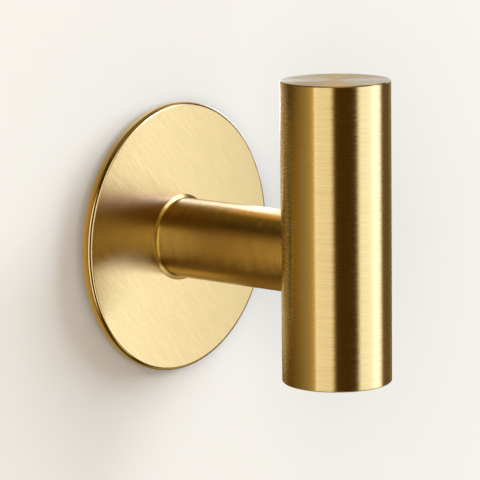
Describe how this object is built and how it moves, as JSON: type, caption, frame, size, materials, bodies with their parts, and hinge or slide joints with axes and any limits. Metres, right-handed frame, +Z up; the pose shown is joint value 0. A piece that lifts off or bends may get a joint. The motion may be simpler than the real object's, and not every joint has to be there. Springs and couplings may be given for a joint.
{
  "type": "adhesive wall hook",
  "caption": "Self-adhesive brushed brass wall hook: a round back plate, a straight stem and an upright cylindrical peg across the stem's end, for hanging towels or clothes.",
  "frame": {"origin": "middle of the adhesive pad's wall face, on the stem's axis", "axes": "+Z up along the peg, +Y into the wall, so the hook stands out along -Y; +X to the right when facing the wall"},
  "size_m": [0.051, 0.05, 0.0577],
  "materials": {
    "pad_foam": "matt closed-cell acrylic foam",
    "plate_brass": "straight brushed on the slant, lacquered",
    "stem_brass": "brushed round, lacquered",
    "peg_brass": "brushed round, spun ends, lacquered",
    "fastener_steel": "plain zinc-plated"
  },
  "bodies": {
    "root": {"adhesive_pad": "pad_foam", "back_plate": "plate_brass", "stem": "stem_brass", "peg": "peg_brass", "plate_screw": "fastener_steel", "peg_stud": "fastener_steel"}
  },
  "joints": []
}
